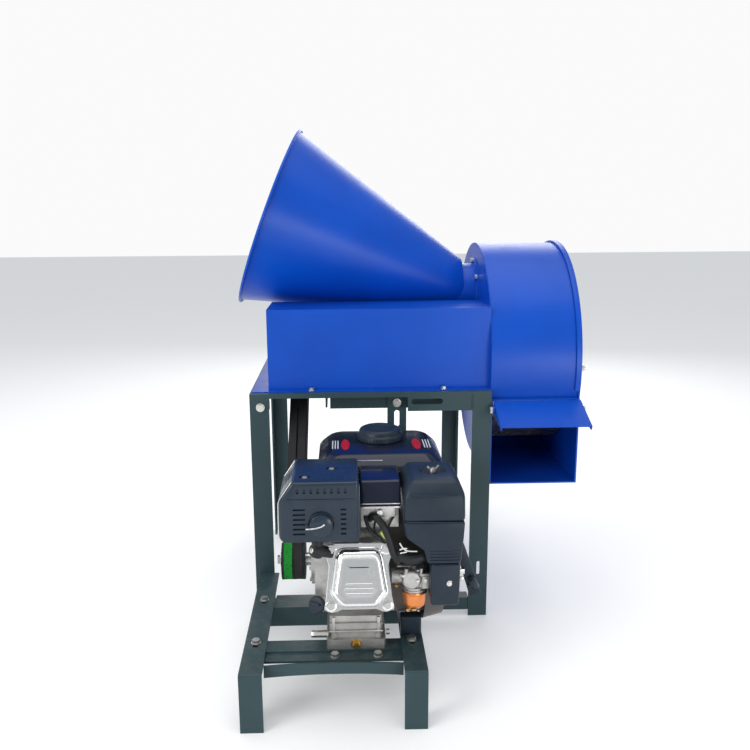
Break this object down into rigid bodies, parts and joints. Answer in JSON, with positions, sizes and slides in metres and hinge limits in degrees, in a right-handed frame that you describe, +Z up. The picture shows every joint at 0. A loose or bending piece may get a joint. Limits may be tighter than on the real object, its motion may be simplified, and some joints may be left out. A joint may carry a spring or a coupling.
{
  "type": "hammer mill",
  "caption": "Belt-driven hammer mill with a tilted feed hopper, round casing, outlet flap, angle-iron table and a small petrol engine on a low front deck.",
  "frame": {"origin": "floor level under the centre of the whole mill's bounding box", "axes": "+Z up; +X along the shafts, from the belt drive to the casing; +Y from the engine towards the back of the table"},
  "size_m": [0.7412, 0.926, 1.0481],
  "materials": {
    "frame_paint": "satin dark slate paint",
    "casing_paint": "semi-gloss blue paint",
    "zinc_steel": "zinc plated",
    "bright_steel": "turned steel",
    "worn_steel": "plain dark steel",
    "cast_iron": "painted cast iron",
    "belt_rubber": "black rubber with a green band",
    "cast_aluminium": "die-cast, bead-blasted",
    "polished_cover": "bright pressed cover",
    "tank_gloss": "gloss black",
    "black_plastic": "moulded black",
    "muffler_black": "heat-proof black",
    "filter_foam": "foam",
    "bowl_copper": "orange passivated",
    "blower_paint": "grey-brown paint",
    "lever_steel": "plated"
  },
  "bodies": {
    "frame": {"air_cleaner_case": "black_plastic", "air_cleaner_cover": "black_plastic", "air_filter": "filter_foam", "bearing_housings": "cast_iron", "bearing_rails": "frame_paint", "blower_housing": "blower_paint", "carburetor": "cast_aluminium", "carburetor_bowl": "bowl_copper", "casing_bolts": "zinc_steel", "cover_hinge": "zinc_steel", "crankcase": "cast_aluminium", "cylinder": "cast_aluminium", "deck_front_tie": "frame_paint", "deck_post": "frame_paint", "deck_side_left": "frame_paint", "deck_side_right": "frame_paint", "drive_belts": "belt_rubber", "drive_guard": "casing_paint", "drum_left_plate": "casing_paint", "drum_shell": "casing_paint", "engine_bolts": "zinc_steel", "engine_rail_front": "frame_paint", "engine_rail_rear": "frame_paint", "frame_bolts": "zinc_steel", "fuel_tank": "tank_gloss", "hanging_stay": "frame_paint", "hopper_cone": "casing_paint", "leg_front_left": "frame_paint", "leg_front_right": "frame_paint", "leg_rear_left": "frame_paint", "leg_rear_right": "frame_paint", "lower_ties": "frame_paint", "muffler": "muffler_black", "recoil_cover": "blower_paint", "sieve_screen": "worn_steel", "stay_bar": "frame_paint", "switch_box": "black_plastic", "top_rail_front": "frame_paint", "top_rail_rear": "frame_paint", "top_rails_side": "frame_paint", "valve_cover": "polished_cover"},
    "rotor": {"main_shaft": "bright_steel", "rotor_discs": "worn_steel", "hammer_pins": "bright_steel", "hammer_spacers": "bright_steel", "mill_pulley": "cast_iron"},
    "hammer_row_1": {"hammers_1": "worn_steel"},
    "hammer_row_2": {"hammers_2": "worn_steel"},
    "hammer_row_3": {"hammers_3": "worn_steel"},
    "hammer_row_4": {"hammers_4": "worn_steel"},
    "crank": {"crankshaft": "bright_steel", "engine_pulley": "cast_iron", "flywheel": "cast_iron"},
    "casing_cover": {"drum_cover": "casing_paint", "cover_latch": "zinc_steel"},
    "flap": {"outlet_flap": "casing_paint"},
    "tank_cap": {"fuel_cap": "black_plastic"},
    "dipstick": {"oil_dipstick": "black_plastic"},
    "starter_handle": {"starter_grip": "black_plastic"},
    "throttle": {"throttle_lever": "lever_steel"}
  },
  "joints": [
    {"name": "rotor_spin", "type": "hinge", "parent": "frame", "child": "rotor", "pos_m": [0.26531, 0.19254, 0.5479], "axis": [1, 0, 0], "continuous": true},
    {"name": "crank_spin", "type": "hinge", "parent": "frame", "child": "crank", "pos_m": [-0.23269, -0.25146, 0.226], "axis": [1, 0, 0], "continuous": true},
    {"name": "hammer_swing_1", "type": "hinge", "parent": "rotor", "child": "hammer_row_1", "pos_m": [0.26531, 0.26325, 0.61861], "axis": [1, 0, 0], "range_deg": [-15, 285]},
    {"name": "hammer_swing_2", "type": "hinge", "parent": "rotor", "child": "hammer_row_2", "pos_m": [0.26531, 0.12183, 0.61861], "axis": [1, 0, 0], "range_deg": [-285, 15]},
    {"name": "hammer_swing_3", "type": "hinge", "parent": "rotor", "child": "hammer_row_3", "pos_m": [0.26531, 0.12183, 0.47719], "axis": [1, 0, 0], "range_deg": [-195, 105]},
    {"name": "hammer_swing_4", "type": "hinge", "parent": "rotor", "child": "hammer_row_4", "pos_m": [0.26531, 0.26325, 0.47719], "axis": [1, 0, 0], "range_deg": [-105, 195]},
    {"name": "cover_swing", "type": "hinge", "parent": "frame", "child": "casing_cover", "pos_m": [0.34131, 0.45554, 0.5479], "axis": [0, 0, 1], "range_deg": [0, 110]},
    {"name": "flap_tilt", "type": "hinge", "parent": "frame", "child": "flap", "pos_m": [0.26671, -0.07646, 0.4679], "axis": [1, 0, 0], "range_deg": [-30, 55]},
    {"name": "cap_turn", "type": "hinge", "parent": "frame", "child": "tank_cap", "pos_m": [-0.06569, -0.17646, 0.44], "axis": [0, 0, 1], "range_deg": [0, 90]},
    {"name": "dipstick_turn", "type": "hinge", "parent": "frame", "child": "dipstick", "pos_m": [-0.17869, -0.33846, 0.178], "axis": [-0.4506, -0.8211, 0.3505], "range_deg": [0, 360]},
    {"name": "starter_pull", "type": "slide", "parent": "frame", "child": "starter_handle", "axis": [1, 0, 0], "range_m": [0, 0.5], "stiffness_N_per_m": 15, "springref_m": -0.2},
    {"name": "throttle_turn", "type": "hinge", "parent": "frame", "child": "throttle", "pos_m": [-0.01669, -0.38846, 0.2724], "axis": [0, 0, 1], "range_deg": [-20, 25]}
  ],
  "couplings": [
    {"joint": "crank_spin", "follows": "rotor_spin", "ratio": 1.3333}
  ]
}
